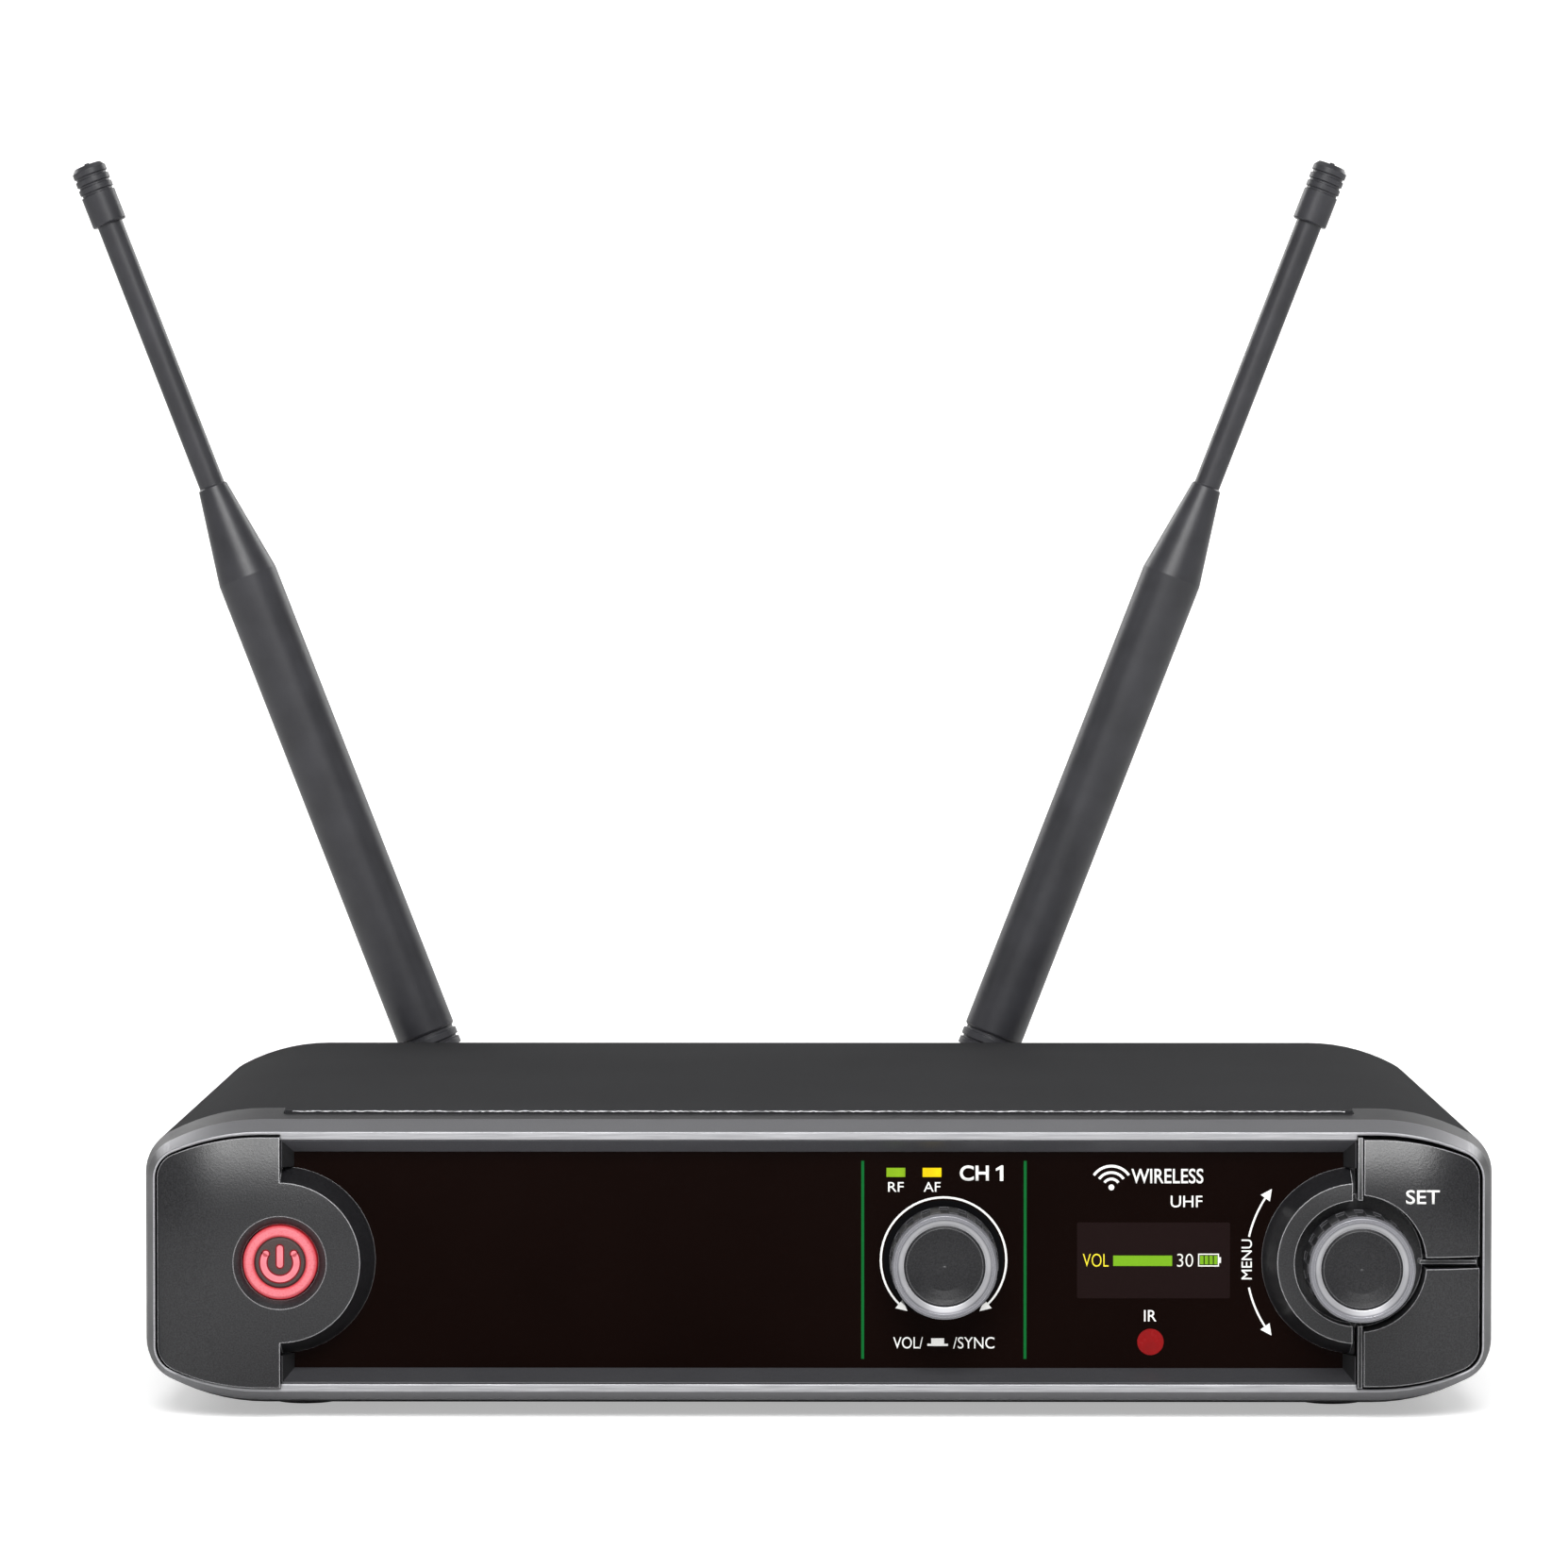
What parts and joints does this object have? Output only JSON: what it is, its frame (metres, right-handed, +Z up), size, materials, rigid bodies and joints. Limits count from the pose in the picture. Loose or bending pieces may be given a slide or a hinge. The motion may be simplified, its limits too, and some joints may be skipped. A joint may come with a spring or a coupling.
{
  "type": "wireless microphone receiver",
  "caption": "Half-rack wireless microphone receiver with a gloss front, push buttons, ribbed knobs and folding whip antennas on its rear panel.",
  "frame": {"origin": "on the table, at the centre of the four feet, below the case's centre", "axes": "+X to the right of a user facing the front, +Y towards the rear, +Z up"},
  "size_m": [0.2369, 0.1667, 0.2031],
  "materials": {
    "shell_paint": "fine matte black powder coat",
    "frame_plastic": "fine spark texture",
    "trim_paint": "satin metallic grey",
    "window_gloss": "polished black acrylic",
    "pod_plastic": "moulded texture",
    "button_plastic": "moulded texture",
    "power_red": "translucent, lit",
    "knob_plastic": "ribbed",
    "knob_silver": "satin turned",
    "cap_plastic": "fine texture",
    "antenna_rubber": "matte",
    "board_green": "solder mask",
    "bright_metal": "nickel plate",
    "steel_screw": "black zinc",
    "brass": "turned",
    "tin_plate": "tin plate",
    "foot_rubber": "matte",
    "dark_plastic": "moulded",
    "lens_red": "polished",
    "pipe_green": "clear",
    "pipe_yellow": "clear",
    "ribbon_grey": "flexible"
  },
  "bodies": {
    "case": {"antenna_cables": "dark_plastic", "antenna_nuts": "bright_metal", "antenna_sockets": "bright_metal", "audio_light_pipe": "pipe_yellow", "balanced_output": "bright_metal", "bottom_tray": "shell_paint", "button_switches": "bright_metal", "connector_pins": "brass", "cord_hook": "frame_plastic", "display_module": "dark_plastic", "display_window": "window_gloss", "feet": "foot_rubber", "front_board": "board_green", "front_fascia": "frame_plastic", "front_frame": "frame_plastic", "front_leds": "dark_plastic", "front_trim": "trim_paint", "infrared_lens": "lens_red", "jack_nut": "bright_metal", "jack_output": "dark_plastic", "left_pod": "pod_plastic", "main_board": "board_green", "menu_encoder": "tin_plate", "output_insulator": "dark_plastic", "power_inlet": "dark_plastic", "radio_light_pipe": "pipe_green", "rear_panel": "shell_paint", "rear_screws": "steel_screw", "ribbon_cable": "ribbon_grey", "right_pod": "pod_plastic", "shield_cans": "tin_plate", "standoffs": "brass", "top_cover": "shell_paint", "tray_screws": "steel_screw", "trimmer_case": "dark_plastic", "volume_encoder": "tin_plate"},
    "power_button": {"power_button": "cap_plastic", "power_ring": "power_red"},
    "set_button": {"set_button": "button_plastic"},
    "lower_button": {"lower_button": "button_plastic"},
    "volume_push": {"volume_plunger": "dark_plastic"},
    "volume_knob": {"volume_knob": "knob_plastic", "volume_knob_ring": "knob_silver", "volume_knob_cap": "cap_plastic", "volume_shaft": "bright_metal"},
    "menu_knob": {"menu_knob": "knob_plastic", "menu_knob_ring": "knob_silver", "menu_knob_cap": "cap_plastic", "menu_shaft": "bright_metal"},
    "level_disc": {"level_disc": "cap_plastic"},
    "antenna_left_elbow": {"antenna_left_elbow": "antenna_rubber", "antenna_left_pin": "steel_screw"},
    "antenna_left": {"antenna_left_collar": "antenna_rubber", "antenna_left_whip": "antenna_rubber", "antenna_left_tip": "antenna_rubber"},
    "antenna_right_elbow": {"antenna_right_elbow": "antenna_rubber", "antenna_right_pin": "steel_screw"},
    "antenna_right": {"antenna_right_collar": "antenna_rubber", "antenna_right_whip": "antenna_rubber", "antenna_right_tip": "antenna_rubber"}
  },
  "joints": [
    {"name": "power_press", "type": "slide", "parent": "case", "child": "power_button", "axis": [0, 1, 0], "range_m": [0, 0.0006], "stiffness_N_per_m": 800, "springref_m": -0.001},
    {"name": "set_press", "type": "slide", "parent": "case", "child": "set_button", "axis": [0, 1, 0], "range_m": [0, 0.0006], "stiffness_N_per_m": 800, "springref_m": -0.001},
    {"name": "lower_press", "type": "slide", "parent": "case", "child": "lower_button", "axis": [0, 1, 0], "range_m": [0, 0.0006], "stiffness_N_per_m": 800, "springref_m": -0.001},
    {"name": "volume_press", "type": "slide", "parent": "case", "child": "volume_push", "axis": [0, 1, 0], "range_m": [0, 0.0006], "stiffness_N_per_m": 800, "springref_m": -0.001},
    {"name": "volume_turn", "type": "hinge", "parent": "volume_push", "child": "volume_knob", "pos_m": [0.0194, -0.071, 0.0245], "axis": [0, -1, 0], "continuous": true},
    {"name": "menu_turn", "type": "hinge", "parent": "case", "child": "menu_knob", "pos_m": [0.0832, -0.071, 0.0245], "axis": [0, -1, 0], "continuous": true},
    {"name": "level_turn", "type": "hinge", "parent": "case", "child": "level_disc", "pos_m": [-0.032, 0.07, 0.0185], "axis": [0, 1, 0], "range_deg": [-135, 135]},
    {"name": "antenna_left_swivel", "type": "hinge", "parent": "case", "child": "antenna_left_elbow", "pos_m": [-0.0655, 0.08, 0.0375], "axis": [0, -1, 0], "range_deg": [-31.2, 68.8]},
    {"name": "antenna_left_fold", "type": "hinge", "parent": "antenna_left_elbow", "child": "antenna_left", "pos_m": [-0.0655, 0.08, 0.0375], "axis": [-0.9323, 0, -0.3616], "range_deg": [0, 90]},
    {"name": "antenna_right_swivel", "type": "hinge", "parent": "case", "child": "antenna_right_elbow", "pos_m": [0.0268, 0.08, 0.0375], "axis": [0, 1, 0], "range_deg": [-31.2, 68.8]},
    {"name": "antenna_right_fold", "type": "hinge", "parent": "antenna_right_elbow", "child": "antenna_right", "pos_m": [0.0268, 0.08, 0.0375], "axis": [-0.9323, 0, 0.3616], "range_deg": [0, 90]}
  ]
}
